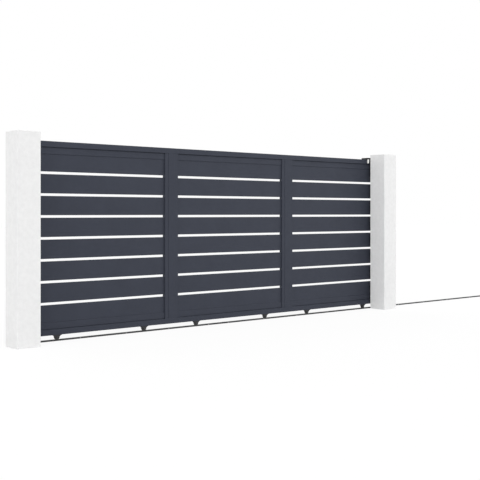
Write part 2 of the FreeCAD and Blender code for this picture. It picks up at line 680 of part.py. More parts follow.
def guide_pin(label, across):
    """A vertical pin clamped to the bracket's plate by a washer and a nut, with a head under the roller."""
    body = new_part(label)
    sketch = new_sketch(body, "section", "XZ_Plane")
    shank = "Sizes.pin_radius"
    head = "Sizes.pin_head_radius"
    collar = "Sizes.pin_collar_radius"
    washer = "Sizes.pin_washer_radius"
    head_top = f"({ROLLER_FOOT} - {PLATE_Z} - Sizes.roller_gap)"
    head_foot = f"({head_top} - Sizes.pin_head_height)"
    collar_foot = f"({ROLLER_FOOT} - {PLATE_Z} + Sizes.roller_height + Sizes.roller_gap)"
    plate_top = "Sizes.bracket_thickness"
    washer_top = f"({plate_top} + Sizes.pin_washer_height)"
    tip = f"({washer_top} + Sizes.pin_nut_height + Sizes.pin_tip)"
    outline(sketch, [("0", head_foot), (head, head_foot), (head, head_top), (shank, head_top),
                     (shank, collar_foot), (collar, collar_foot), (collar, "0"), (shank, "0"),
                     (shank, plate_top), (washer, plate_top), (washer, washer_top), (shank, washer_top),
                     (shank, tip), ("0", tip)])
    revolve(body, sketch, "Z_Axis")
    nut = new_sketch(body, "nut", "XY_Plane", washer_top)
    reach = "Sizes.pin_nut_across / 2 / cos(30)"
    turns = [60 * corner for corner in range(6)]
    outline(nut, [(f"{reach} * cos({turn})", f"{reach} * sin({turn})") for turn in turns])
    pad(body, nut, "Sizes.pin_nut_height")
    place(body, GUIDE_X, across, PLATE_Z)


def guide_roller(label, across):
    """A nylon roller with chamfered ends that turns on its pin against the leaf's top rail."""
    body = new_part(label)
    sketch = new_sketch(body, "section", "XZ_Plane")
    bore = "(Sizes.pin_radius + Sizes.running_gap)"
    rim = "Sizes.roller_radius"
    tall = "Sizes.roller_height"
    edge = "Sizes.roller_edge"
    outline(sketch, [(bore, "0"), (f"{rim} - {edge}", "0"), (rim, edge), (rim, f"{tall} - {edge}"),
                     (f"{rim} - {edge}", tall), (bore, tall)])
    revolve(body, sketch, "Z_Axis")
    place(body, GUIDE_X, across, ROLLER_FOOT)


def check_and_write():
    """Stops at any failed object or bad solid, then writes one file per piece."""
    doc.recompute()
    for item in doc.Objects:
        if "Invalid" in item.State or "Error" in item.State:
            raise RuntimeError(f"{item.Label} failed: {item.State}")
    for body in parts:
        if body.Shape.isNull() or not body.Shape.isValid():
            raise RuntimeError(f"{body.Label} has no valid solid")
    os.makedirs("parts", exist_ok=True)
    for body in parts:
        body.Shape.exportStep(f"parts/{body.Label}.step")


pillar("left_pillar", "0")
pillar("right_pillar", RIGHT_PILLAR_X)
for position in range(RAIL_SECTIONS):
    rail_section(position)
rail_end_stop()
leaf_catch()
catch_buffer()
guide_bracket()
for name, sign in (("front", "-"), ("rear", "+")):
    guide_pin(f"guide_pin_{name}", f"{LEAF_Y} {sign} {ROLLER_REACH}")
    guide_roller(f"guide_roller_{name}", f"{LEAF_Y} {sign} {ROLLER_REACH}")
tube_rail("top_rail", f"{LEAF_TOP} - Sizes.frame_band")
bottom_rail()
rail_end_caps()
stile("left_stile", LEAF_LEFT)
stile("right_stile", f"{LEAF_LEFT} + {LEAF_LENGTH}", HALF_TURN)
for position in range(MULLIONS):
    mullion(position)
for position in range(BAYS):
    channel("sill_channel", position, POST_FOOT)
    channel("head_channel", position, f"{POST_FOOT} + {POST_HEIGHT}", UPSIDE_DOWN)
    slat_bay(position)
slat_spacers()
wheel_axles()
for position in range(WHEELS):
    wheel_carrier(position)
    wheel(position)
check_and_write()
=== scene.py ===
"""Dresses a packed sliding driveway gate: finishes for its pillars, leaf, rail and running gear, the small
fasteners that the solids leave out, and the plain white stage that it is shown on. Lengths are in metres."""

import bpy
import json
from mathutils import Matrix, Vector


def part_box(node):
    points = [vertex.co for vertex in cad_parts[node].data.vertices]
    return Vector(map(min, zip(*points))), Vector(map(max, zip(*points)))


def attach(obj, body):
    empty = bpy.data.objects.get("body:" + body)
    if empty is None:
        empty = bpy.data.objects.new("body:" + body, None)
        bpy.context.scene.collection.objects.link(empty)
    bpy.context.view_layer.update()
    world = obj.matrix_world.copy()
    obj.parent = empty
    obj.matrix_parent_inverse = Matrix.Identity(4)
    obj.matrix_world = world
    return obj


bl_info = {
    "name": "Sliding driveway gate",
    "version": (1, 0, 0),
    "blender": (4, 5, 0),
    "location": "3D View > Sidebar > Gate",
    "description": "Finishes, fasteners and stage for a slatted gate that slides on a ground rail",
    "category": "Object",
}

import json
import math

import bpy
from bpy.props import FloatProperty, FloatVectorProperty, IntProperty, PointerProperty

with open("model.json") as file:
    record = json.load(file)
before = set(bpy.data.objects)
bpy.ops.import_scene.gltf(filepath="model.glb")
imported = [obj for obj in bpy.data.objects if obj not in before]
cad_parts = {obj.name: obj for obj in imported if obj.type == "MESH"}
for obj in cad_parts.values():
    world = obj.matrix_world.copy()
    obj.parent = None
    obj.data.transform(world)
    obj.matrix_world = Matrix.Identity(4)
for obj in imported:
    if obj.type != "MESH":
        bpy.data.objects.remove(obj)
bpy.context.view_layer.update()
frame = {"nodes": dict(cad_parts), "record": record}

# Nearly all of a soft noise lies in this span.
NOISE_SPAN = (0.3, 0.7)
# How far a coat's or a moulding's roughness strays from its mean.
ROUGHNESS_SWING = 0.05
# The paint on the small steel parts.
PAINT = {"peel": 0.0015, "roughness": 0.55}
# How far down from its crown the rail is run bright by the wheels.
CROWN_WEAR = 0.0012
# A turning tool's marks, drawn out across the axis that the part was turned about.
TURNED_ABOUT_Y, TURNED_ABOUT_Z = (0.2, 1, 0.2), (0.2, 0.2, 1)
# The colour sockets of a Mix node, which share their names with its other sockets.
MIX_FACTOR, MIX_FIRST, MIX_LAST, MIX_RESULT = 0, 6, 7, 2

# Ways that a fastener can face. The street is in front.
UP, DOWN, FRONT, BACK = (0, 0, 1), (0, 0, -1), (0, -1, 0), (0, 1, 0)
# Kinds of head: how many sides, the crown's share of the head's width, and the drive's share of the crown's.
PAN_HEAD = {"Sides": 24, "Crown Share": 0.72, "Drive Share": 0.45}
FLAT_HEAD = {"Sides": 24, "Crown Share": 0.88, "Drive Share": 0.5}
HEXAGON_HEAD = {"Sides": 6, "Crown Share": 0.9, "Drive Share": 0.6}
# Shares of a head's height. A head with no washer stands on a thin seat instead.
CROWN_RISE, DRIVE_SINK, WASHER_RISE, SEAT_RISE = 0.4, 0.55, 0.3, 0.1
# A seat's width as a share of the head's, and the width of a drive's bottom as a share of its mouth's.
SEAT_WIDTH, DRIVE_TAPER = 0.9, 0.9
WASHER_SIDES = 28
# A face whose normal rises more than this is a head's top. An edge bent by more radians stays sharp.
TOP_NORMAL, CREASE = 0.9, 0.6
SPIN_SEED = 11

# The turn that brings a lamp or the camera from looking down to looking level.
LEVEL = math.radians(90)
# In millimetres, as the lens is.
SENSOR_WIDTH = 36


def slot_colour(slot):
    """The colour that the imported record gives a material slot."""
    return next(entry["base_color"] for entry in frame["record"]["materials"] if entry["slot"] == slot)


def toned(base, share):
    """A lighter or darker version of a colour."""
    return [min(1.0, channel * share) for channel in base]


def grey(tone):
    return (tone, tone, tone, 1)


def nodes_named(*starts):
    """The CAD nodes whose names begin with any of these words, in order."""
    return sorted(name for name in frame["nodes"] if name.startswith(starts))


def middle(node):
    low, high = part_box(node)
    return (low + high) / 2


def add_object(name, data):
    """A new object in the scene, for a mesh, a lamp or the camera."""
    item = bpy.data.objects.new(name, data)
    bpy.context.scene.collection.objects.link(item)
    return item


def colour(label, words, base):
    return FloatVectorProperty(name=label, description=words, default=base,
                               subtype="COLOR", size=3, min=0, max=1)


def length(label, words, default):
    return FloatProperty(name=label, description=words, default=default,
                         unit="LENGTH", subtype="DISTANCE", min=0)


def angle(label, words, degrees):
    return FloatProperty(name=label, description=words, default=math.radians(degrees), subtype="ANGLE")


def strength(label, words, default):
    return FloatProperty(name=label, description=words, default=default, min=0)


def fraction(label, words, default):
    return FloatProperty(name=label, description=words, default=default, subtype="FACTOR", min=0, max=1)


def count(label, words, default):
    return IntProperty(name=label, description=words, default=default, min=2)


class GateFinish(bpy.types.PropertyGroup):
    """Colours and grain sizes of the gate's finishes."""

    render: colour("Render", "Coarse white render on the pillars", slot_colour("rendered_masonry"))
    coating: colour("Coating", "Powder coat on the leaf's frame and slats", (0.041, 0.046, 0.063))
    caps: colour("Caps", "Plastic of the rail caps and slat spacers", slot_colour("cap_plastic"))
    rail: colour("Rail", "Steel of the ground rail", slot_colour("rail_steel"))
    # Carriers and axles: the dark steel paint made lighter, as painted light. The bracket's darker tone is
    # the same paint as painted shade.
    carriers: colour("Carriers", "Grey paint on the wheel carriers and axles",
                     toned(slot_colour("dark_steel"), 1.8))
    # Bracket and catch: the same dark steel paint made darker, as painted shade.
    bracket_shade_tone: colour("Brackets", "Black paint on the guide bracket and the catch",
                     toned(slot_colour("dark_steel"), 0.35))
    zinc: colour("Zinc", "Plating on pins and fasteners", slot_colour("zinc_steel"))
    rollers: colour("Rollers", "Nylon of the guide rollers", slot_colour("white_nylon"))
    wheels: colour("Wheels", "Nylon of the running wheels", slot_colour("wheel_nylon"))
    buffer: colour("Buffer", "Rubber pad in the catch", slot_colour("black_rubber"))
    render_grain: length("Render grain", "Size of the grit in the render", 0.004)
    render_mottle: length("Render mottle", "Size of the pale patches in the render", 0.035)
    coating_peel: length("Coating peel", "Size of the ripples in the powder coat", 0.0025)


class GateFasteners(bpy.types.PropertyGroup):
    """Sizes and spacings of the screws and bolts."""

    rail_holes: count("Rail holes", "Fixing holes along each side of a rail section", 5)
    rail_end: length("Rail hole end", "From a rail section's end to its first hole", 0.120)
    rail_side: length("Rail hole side", "From the rail's middle to a hole", 0.015)
    rail_base: length("Rail base", "Thickness of the rail's flat base", 0.003)
    rail_screw: length("Rail screw", "Head radius of the rail's screws", 0.0058)
    rail_screw_height: length("Rail screw height", "Head height of the rail's screws", 0.0032)
    slats: count("Slats", "Slats in each bay", 8)
    slat_height: length("Slat height", "Height of one slat", 0.1545)
    slat_screw: length("Slat screw", "Head radius of the screws behind the slats' ends", 0.0042)
    slat_screw_height: length("Slat screw height", "Head height of the slats' screws", 0.0024)
    slat_screw_end: length("Slat screw end", "From a slat's end to its screw", 0.0125)
    lip_step: length("Lip step", "How far an upright's lips stand back from its core", 0.0025)
    core_width: length("Core width", "Width of an upright's hollow core", 0.070)
    frame_screw: length("Frame screw", "Head radius of the screws between rails and uprights", 0.0055)
    frame_screw_height: length("Frame screw height", "Head height of the frame's screws", 0.0016)
    frame_screw_gap: length("Frame screw gap", "Between the two screws in an upright's end", 0.036)
    carrier_plate: length("Carrier plate", "Thickness of a wheel carrier's plate", 0.003)
    carrier_offset: length("Carrier screw offset", "From a wheel carrier's middle to its screws", 0.0335)
    carrier_screw: length("Carrier screw", "Head radius of the carriers' screws", 0.0048)
    carrier_screw_height: length("Carrier screw height", "Head height of the carriers' screws", 0.003)
    bracket_plate: length("Bracket plate", "Thickness of the guide bracket", 0.005)
    bracket_drop: length("Bracket bolt drop", "From under the bracket's plate down to its bolts", 0.070)
    bracket_end: length("Bracket bolt end", "From the ends of the bracket's leg to its bolts", 0.032)
    bracket_room: length("Bracket room", "From the leaf's top to the bracket's plate, and from the pillar's "
                         "corner to its leg", 0.0055)
    catch_wall: length("Catch wall", "Thickness of the catch", 0.005)
    catch_end: length("Catch bolt end", "From the ends of the catch to its bolts", 0.045)
    anchor: length("Anchor", "Corner radius of the anchors' hexagon heads", 0.0075)
    anchor_height: length("Anchor height", "Height of the anchors' heads", 0.005)
    anchor_washer: length("Anchor washer", "Radius of the washers under the anchors' heads", 0.010)
    stop_screw: length("Stop screw", "Head radius of the end stop's screws", 0.005)
    stop_screw_height: length("Stop screw height", "Head height of the end stop's screws", 0.003)
    stop_screw_gap: length("Stop screw gap", "Between the end stop's two screws", 0.024)


class GateStage(bpy.types.PropertyGroup):
    """The camera, the floor and the light."""

    camera_place: FloatVectorProperty(name="Camera place", description="Where the camera stands",
                                      default=(-3.3881, -6.3518, 1.0261), subtype="TRANSLATION", size=3)
    camera_turn: angle("Camera turn", "How far the camera turns from the gate's normal", 41.4248)
    camera_lens: FloatProperty(name="Lens", description="Focal length in millimetres", default=68.545, min=1)
    camera_rise: FloatProperty(name="Rise", description="Upright shift of the picture", default=-0.05624)
    floor_half: length("Floor half", "Half the floor's side", 60.0)
    floor_sink: length("Floor sink", "How far the floor lies under the rail", 0.0005)
    floor_tone: fraction("Floor tone", "Paleness of the floor", 0.8)
    floor_shadow: fraction("Floor shadow", "Share of the floor's look that takes shadow", 0.1)
    sky: strength("Sky", "Strength of the white light from all round", 0.37)
    left_lamp: strength("Left lamp", "Strength of the soft lamp on the left", 1.7)
    left_turn: angle("Left turn", "How far round from the street to the left the left lamp stands", 60)
    right_lamp: strength("Right lamp", "Strength of the soft lamp on the right", 1.75)
    right_turn: angle("Right turn", "How far round from the street to the right the right lamp stands", 60)
    back_lamp: strength("Back lamp", "Strength of the soft lamp behind the gate", 1.1)
    lamp_height: angle("Lamp height", "How far above the horizon the lamps stand", 28)
    lamp_spread: angle("Lamp spread", "How wide each lamp is, seen from the gate", 70)


class Finish:
    """A material in the making, with short calls for the nodes that it needs."""

    def __init__(self, name, even):
        """Starts the material. What even holds is the same all over the surface."""
        self.material = bpy.data.materials.new(name)
        self.material.use_nodes = True
        self.tree = self.material.node_tree
        self.shader = self.tree.nodes["Principled BSDF"]
        for socket, value in even.items():
            self.shader.inputs[socket].default_value = value
        self.place = self.tree.nodes.new("ShaderNodeTexCoord").outputs["Object"]
        self.relief = None

    def node(self, kind, values=None, links=None):
        node = self.tree.nodes.new(kind)
        for socket, value in (values or {}).items():
            node.inputs[socket].default_value = value
        for socket, source in (links or {}).items():
            self.tree.links.new(source, node.inputs[socket])
        return node

    def noise(self, grain, detail, stretch=None):
        """Soft noise with grains of about this size, drawn out along the axes whose stretch is below 1."""
        place = self.place
        if stretch is not None:
            place = self.node("ShaderNodeMapping", {"Scale": stretch}, {"Vector": place}).outputs["Vector"]
        values = {"Scale": 1 / grain, "Detail": detail}
        return self.node("ShaderNodeTexNoise", values, {"Vector": place}).outputs["Fac"]

    def grit(self, grain):
        """Rounded lumps of about this size."""
        lumps = self.node("ShaderNodeTexVoronoi", {"Scale": 1 / grain}, {"Vector": self.place})
        return lumps.outputs["Distance"]

    def height(self):
        return self.node("ShaderNodeSeparateXYZ", None, {"Vector": self.place}).outputs["Z"]

    def spread(self, source, low, high, span=NOISE_SPAN):
        """A value that runs from low to high as the source crosses the span."""
        values = {"From Min": span[0], "From Max": span[1], "To Min": low, "To Max": high}
        return self.node("ShaderNodeMapRange", values, {"Value": source}).outputs["Result"]

    def shades(self, base, noise, dark, pale):
        """Shades of a colour, from its dark share to its pale share as the noise rises."""
        ramp = self.node("ShaderNodeValToRGB", None, {"Fac": noise})
        for stop, position, part in zip(ramp.color_ramp.elements, NOISE_SPAN, (dark, pale)):
            stop.position = position
            stop.color = (*toned(base, part), 1)
        return ramp.outputs["Color"]

    def feed(self, socket, source):
        self.tree.links.new(source, self.shader.inputs[socket])

    def bump(self, source, depth):
        """Adds a bump over those that the surface has already."""
        links = {"Height": source}
        if self.relief is not None:
            links["Normal"] = self.relief
        bump = self.node("ShaderNodeBump", {"Strength": 1.0, "Distance": depth}, links)
        self.relief = bump.outputs["Normal"]
        self.feed("Normal", self.relief)


def coarse_render(name, base, mottle, grain):
    """Scraped render: faint patches, and a gritty surface that breaks up the light."""
    finish = Finish(name, {"Roughness": 0.92, "Specular IOR Level": 0.2})
    patches = finish.noise(mottle, detail=3)
    finish.feed("Base Color", finish.shades(base, patches, dark=0.965, pale=1.015))
    finish.bump(finish.noise(mottle, detail=2), depth=0.0012)
    finish.bump(finish.grit(grain), depth=0.0008)
    finish.bump(finish.noise(grain / 2, detail=3), depth=0.0006)
    return finish.material


def powder_coat(name, base, peel, roughness):
    """Baked powder coat: fine ripples and grain, and a satin gloss that varies a little over the surface."""
    finish = Finish(name, {"Specular IOR Level": 0.15})
    cloud, gloss = finish.noise(grain=0.18, detail=2), finish.noise(grain=0.03, detail=3)
    finish.feed("Base Color", finish.shades(base, cloud, dark=0.96, pale=1.04))
    finish.feed("Roughness", finish.spread(gloss, roughness - ROUGHNESS_SWING, roughness + ROUGHNESS_SWING))
    finish.bump(finish.noise(peel, detail=1), depth=0.00004)
    finish.bump(finish.grit(peel / 3), depth=0.00003)
    return finish.material


def rolled_steel(name, base, crown):
    """Dark rolled steel with long draw marks, run bright along the crown by the wheels."""
    finish = Finish(name, {"Metallic": 0.35, "Specular IOR Level": 0.4})
    draw = finish.noise(grain=0.006, detail=3, stretch=(0.04, 1, 1))
    bright = toned(base, 5.0)
    height, worn_span = finish.height(), (crown - CROWN_WEAR, crown)
    mix = finish.node("ShaderNodeMix")
    mix.data_type = "RGBA"
    finish.tree.links.new(finish.spread(height, low=0.0, high=0.8, span=worn_span), mix.inputs[MIX_FACTOR])
    finish.tree.links.new(finish.shades(base, draw, dark=0.8, pale=1.2), mix.inputs[MIX_FIRST])
    mix.inputs[MIX_LAST].default_value = (*bright, 1)
    finish.feed("Base Color", mix.outputs[MIX_RESULT])
    finish.feed("Roughness", finish.spread(height, low=0.6, high=0.32, span=worn_span))
    finish.bump(draw, depth=0.00008)
    finish.bump(finish.noise(grain=0.0015, detail=2), depth=0.00003)
    return finish.material


def zinc_plate(name, base):
    """Bright zinc with the cloudy crystals of a plating bath."""
    finish = Finish(name, {"Metallic": 1.0})
    cloud = finish.noise(grain=0.004, detail=3)
    finish.feed("Base Color", finish.shades(base, cloud, dark=0.88, pale=1.1))
    finish.feed("Roughness", finish.spread(cloud, low=0.28, high=0.42))
    finish.bump(finish.noise(grain=0.0008, detail=2), depth=0.00001)
    return finish.material


def turned_nylon(name, base, marks):
    """Machined nylon: waxy, with the fine rings that the turning tool leaves."""
    finish = Finish(name, {"Specular IOR Level": 0.4, "Subsurface Weight": 0.08,
                           "Subsurface Radius": (0.002, 0.002, 0.002)})
    cloud, rings = finish.noise(grain=0.01, detail=2), finish.noise(grain=0.0006, detail=1, stretch=marks)
    finish.feed("Base Color", finish.shades(base, cloud, dark=0.95, pale=1.03))
    finish.feed("Roughness", finish.spread(rings, low=0.42, high=0.55))
    finish.bump(rings, depth=0.00004)
    return finish.material


def moulded(name, base, grain, roughness):
    """Moulded plastic or rubber with a fine matt grain."""
    finish = Finish(name, {"Specular IOR Level": 0.3})
    cloud, gloss = finish.noise(grain=0.02, detail=2), finish.noise(grain, detail=2)
    finish.feed("Base Color", finish.shades(base, cloud, dark=0.92, pale=1.06))
    finish.feed("Roughness", finish.spread(gloss, roughness - ROUGHNESS_SWING, roughness + ROUGHNESS_SWING))
    finish.bump(finish.grit(grain), depth=0.00005)
    return finish.material


def zinc_finish():
    """The plating that pins and fasteners share, made the first time that it is asked for."""
    name = "zinc_plate"
    return bpy.data.materials.get(name) or zinc_plate(name, bpy.context.scene.gate_finish.zinc)


def bracket_painted_shade():
    """Black paint that the bracket and the catch share: the dark steel made darker, as painted shade. Made
    the first time that it is asked for.
    """
    name = "bracket_painted_shade"
    return bpy.data.materials.get(name) or powder_coat(name, bpy.context.scene.gate_finish.bracket_shade_tone, **PAINT)


def dress(material, names):
    """Puts one finish on CAD nodes."""
    for name in names:
        slots = frame["nodes"][name].data.materials
        slots.clear()
        slots.append(material)


def fastener_tree():
    """Geometry nodes that set one screw or bolt head, with a washer under it, on every spot of a mesh."""
    tree = bpy.data.node_groups.new("fastener_heads", "GeometryNodeTree")
    tree.interface.new_socket("Spots", in_out="INPUT", socket_type="NodeSocketGeometry")
    tree.interface.new_socket("Sides", in_out="INPUT", socket_type="NodeSocketInt")
    for name in ("Head Radius", "Head Height", "Crown Share", "Crown Height", "Drive Share", "Drive Depth",
                 "Washer Radius", "Washer Height"):
        tree.interface.new_socket(name, in_out="INPUT", socket_type="NodeSocketFloat")
    tree.interface.new_socket("Finish", in_out="INPUT", socket_type="NodeSocketMaterial")
    tree.interface.new_socket("Heads", in_out="OUTPUT", socket_type="NodeSocketGeometry")
    given = tree.nodes.new("NodeGroupInput").outputs

    def node(kind, inputs=None, **settings):
        """Adds a node. Each input is another node's output, which is linked, or a plain value."""
        item = tree.nodes.new(kind)
        for name, value in settings.items():
            setattr(item, name, value)
        for socket, source in (inputs or {}).items():
            if isinstance(source, bpy.types.NodeSocket):
                tree.links.new(source, item.inputs[socket])
            else:
                item.inputs[socket].default_value = source
        return item

    def maths(operation, *sources):
        return node("ShaderNodeMath", dict(enumerate(sources)), operation=operation).outputs["Value"]

    def disc(sides, radius, height, foot):
        """An upright disc whose underside is at the level of foot."""
        body = node("GeometryNodeMeshCylinder", {"Vertices": sides, "Radius": radius, "Depth": height})
        lift = node("ShaderNodeCombineXYZ", {"Z": maths("MULTIPLY_ADD", height, 0.5, foot)})
        return node("GeometryNodeTransform", {"Geometry": body.outputs["Mesh"],
                                              "Translation": lift.outputs["Vector"]}).outputs["Geometry"]

    def step(mesh, selection, rise, part):
        """Raises the selected face and then scales it, which bevels or sinks the head's top."""
        raised = node("GeometryNodeExtrudeMesh", {"Mesh": mesh, "Selection": selection,
                                                  "Offset Scale": rise})
        scaled = node("GeometryNodeScaleElements", {"Geometry": raised.outputs["Mesh"],
                                                    "Selection": raised.outputs["Top"], "Scale": part})
        return scaled.outputs["Geometry"], raised.outputs["Top"]

    head = disc(given["Sides"], given["Head Radius"], given["Head Height"], given["Washer Height"])
    normal = node("ShaderNodeSeparateXYZ", {"Vector": node("GeometryNodeInputNormal").outputs["Normal"]})
    top = node("FunctionNodeCompare", {"A": normal.outputs["Z"], "B": TOP_NORMAL}, operation="GREATER_THAN")
    head, face = step(head, top.outputs["Result"], given["Crown Height"], given["Crown Share"])
    head, face = step(head, face, 0.0, given["Drive Share"])
    head, _ = step(head, face, maths("MULTIPLY", given["Drive Depth"], -1.0), DRIVE_TAPER)
    washer = disc(WASHER_SIDES, given["Washer Radius"], given["Washer Height"], 0.0)
    joined = node("GeometryNodeJoinGeometry", {"Geometry": head})
    tree.links.new(washer, joined.inputs["Geometry"])
    bend = node("GeometryNodeInputMeshEdgeAngle").outputs["Unsigned Angle"]
    smooth = node("GeometryNodeSetShadeSmooth", {"Geometry": joined.outputs["Geometry"]})
    creased = node("GeometryNodeSetShadeSmooth", {"Geometry": smooth.outputs["Geometry"],
                                                  "Selection": maths("GREATER_THAN", bend, CREASE),
                                                  "Shade Smooth": False}, domain="EDGE")
    facing = node("GeometryNodeInputNamedAttribute", {"Name": "facing"}, data_type="FLOAT_VECTOR")
    aimed = node("FunctionNodeAlignRotationToVector", {"Vector": facing.outputs["Attribute"]}, axis="Z")
    turn = node("FunctionNodeRandomValue", {"Max": 2 * math.pi, "Seed": SPIN_SEED})
    spin = node("FunctionNodeAxisAngleToRotation", {"Angle": turn.outputs["Value"], "Axis": UP})
    turned = node("FunctionNodeRotateRotation", {"Rotation": aimed.outputs["Rotation"],
                                                 "Rotate By": spin.outputs["Rotation"]},
                  rotation_space="LOCAL")
    placed = node("GeometryNodeInstanceOnPoints", {"Points": given["Spots"],
                                                   "Instance": creased.outputs["Geometry"],
                                                   "Rotation": turned.outputs["Rotation"]})
    real = node("GeometryNodeRealizeInstances", {"Geometry": placed.outputs["Instances"]})
    plated = node("GeometryNodeSetMaterial", {"Geometry": real.outputs["Geometry"],
                                              "Material": given["Finish"]})
    tree.links.new(plated.outputs["Geometry"], tree.nodes.new("NodeGroupOutput").inputs["Heads"])
    return tree


def head_sizes(radius, height, washer=None):
    """A head's sizes worked out from its radius and height, on a washer of this radius or on a seat."""
    return {"Head Radius": radius, "Head Height": height * (1 - CROWN_RISE),
            "Crown Height": height * CROWN_RISE, "Drive Depth": height * DRIVE_SINK,
            "Washer Radius": washer or radius * SEAT_WIDTH,
            "Washer Height": height * (WASHER_RISE if washer else SEAT_RISE)}


def fasten(name, body, spots, style, sizes):
    """Sets zinc fasteners on (place, facing) spots, as one plain mesh that rides on a body."""
    mesh = bpy.data.meshes.new(name)
    mesh.from_pydata([place for place, _ in spots], [], [])
    facing = mesh.attributes.new("facing", "FLOAT_VECTOR", "POINT")
    facing.data.foreach_set("vector", [part for _, way in spots for part in way])
    piece = add_object(name, mesh)
    tree = bpy.data.node_groups.get("fastener_heads") or fastener_tree()
    modifier = piece.modifiers.new("fasteners", "NODES")
    modifier.node_group = tree
    wanted = {**style, **sizes, "Finish": zinc_finish()}
    for socket in tree.interface.items_tree:
        if socket.in_out == "INPUT" and socket.name in wanted:
            modifier[socket.identifier] = wanted[socket.name]
    graph = bpy.context.evaluated_depsgraph_get()
    solid = bpy.data.meshes.new_from_object(piece.evaluated_get(graph), depsgraph=graph)
    piece.modifiers.remove(modifier)
    piece.data = solid
    bpy.data.meshes.remove(mesh)
    solid.name = name
    if not solid.polygons:
        raise RuntimeError(f"{name} came out empty")
    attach(piece, body)


def slat_screw_spots(sizes):
    """Two for each slat, near its ends, on the backs of the uprights' lips."""
    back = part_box("mullion_1")[1].y - sizes.lip_step
    spots = []
    for bay in nodes_named("slats_bay"):
        low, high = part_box(bay)
        pitch = (high.z - low.z - sizes.slat_height) / (sizes.slats - 1)
        for row in range(sizes.slats):
            level = low.z + sizes.slat_height / 2 + row * pitch
            for along in (low.x + sizes.slat_screw_end, high.x - sizes.slat_screw_end):
                spots.append(((along, back, level), BACK))
    return spots


def frame_screw_spots(sizes):
    """Two at each end of each upright, through the top rail and the bottom rail."""
    cores = [middle(mullion).x for mullion in nodes_named("mullion")]
    cores.append(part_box("left_stile")[0].x + sizes.core_width / 2)
    cores.append(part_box("right_stile")[1].x - sizes.core_width / 2)
    across, foot, top = middle("top_rail").y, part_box("bottom_rail")[0].z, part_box("top_rail")[1].z
    spots = []
    for core in cores:
        for along in (core - sizes.frame_screw_gap / 2, core + sizes.frame_screw_gap / 2):
            spots.append(((along, across, top), UP))
            spots.append(((along, across, foot), DOWN))
    return spots


def rail_screw_spots(sizes):
    """One in each hole of the rail's base, along both sides of every section."""
    spots = []
    for section in nodes_named("rail_section"):
        low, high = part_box(section)
        spacing = (high.x - low.x - 2 * sizes.rail_end) / (sizes.rail_holes - 1)
        for hole in range(sizes.rail_holes):
            along = low.x + sizes.rail_end + hole * spacing
            for side in (-sizes.rail_side, sizes.rail_side):
                spots.append(((along, middle(section).y + side, sizes.rail_base), UP))
    return spots


class GATE_OT_dress_pillars(bpy.types.Operator):
    """Gives both pillars their white render"""

    bl_idname = "gate.dress_pillars"
    bl_label = "Dress pillars"

    def execute(self, context):
        settings = context.scene.gate_finish
        coat = coarse_render("white_render", settings.render, settings.render_mottle, settings.render_grain)
        dress(coat, ["left_pillar", "right_pillar"])
        return {"FINISHED"}


class GATE_OT_dress_leaf(bpy.types.Operator):
    """Coats the leaf's frame and slats, finishes its caps and spacers, and sets its screws"""

    bl_idname = "gate.dress_leaf"
    bl_label = "Dress leaf"

    def execute(self, context):
        settings, sizes = context.scene.gate_finish, context.scene.gate_fasteners
        dress(powder_coat("leaf_coat", settings.coating, settings.coating_peel, roughness=0.65),
              nodes_named("top_rail", "bottom_rail", "left_stile", "right_stile", "mullion",
                          "sill_channel", "head_channel", "slats_bay"))
        dress(moulded("cap_moulding", settings.caps, grain=0.0015, roughness=0.6),
              nodes_named("rail_end_caps", "slat_spacers"))
        fasten("slat_screws", "leaf", slat_screw_spots(sizes), PAN_HEAD,
               head_sizes(sizes.slat_screw, sizes.slat_screw_height))
        fasten("frame_screws", "leaf", frame_screw_spots(sizes), FLAT_HEAD,
               head_sizes(sizes.frame_screw, sizes.frame_screw_height))
        return {"FINISHED"}


class GATE_OT_dress_rail(bpy.types.Operator):
    """Finishes the ground rail and its end stop, and screws them down"""

    bl_idname = "gate.dress_rail"
    bl_label = "Dress rail"

    def execute(self, context):
        settings, sizes = context.scene.gate_finish, context.scene.gate_fasteners
        steel = rolled_steel("rolled_rail", settings.rail, crown=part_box("rail_section_1")[1].z)
        dress(steel, nodes_named("rail_section", "rail_end_stop"))
        fasten("rail_screws", "posts", rail_screw_spots(sizes), PAN_HEAD,
               head_sizes(sizes.rail_screw, sizes.rail_screw_height))
        front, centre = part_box("rail_end_stop")[0].y, middle("rail_end_stop")
        half = sizes.stop_screw_gap / 2
        spots = [((along, front, centre.z), FRONT) for along in (centre.x - half, centre.x + half)]
        fasten("stop_screws", "posts", spots, PAN_HEAD,
               head_sizes(sizes.stop_screw, sizes.stop_screw_height))
        return {"FINISHED"}


class GATE_OT_dress_running_gear(bpy.types.Operator):
    """Finishes the wheels, axles and carriers, and screws the carriers under the leaf"""

    bl_idname = "gate.dress_running_gear"
    bl_label = "Dress running gear"

    def execute(self, context):
        settings, sizes = context.scene.gate_finish, context.scene.gate_fasteners
        steel = nodes_named("wheel_carrier", "wheel_axles")
        wheels = [name for name in nodes_named("wheel_") if name not in steel]
        # The carriers' and axles' lighter tone is painted light on the same dark steel paint.
        dress(powder_coat("carrier_painted_light", settings.carriers, **PAINT), steel)
        dress(turned_nylon("turned_wheel", settings.wheels, TURNED_ABOUT_Y), wheels)
        spots = []
        for carrier in nodes_named("wheel_carrier"):
            centre, under = middle(carrier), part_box(carrier)[1].z - sizes.carrier_plate
            for along in (centre.x - sizes.carrier_offset, centre.x + sizes.carrier_offset):
                spots.append(((along, centre.y, under), DOWN))
        fasten("carrier_screws", "leaf", spots, PAN_HEAD,
               head_sizes(sizes.carrier_screw, sizes.carrier_screw_height))
        return {"FINISHED"}


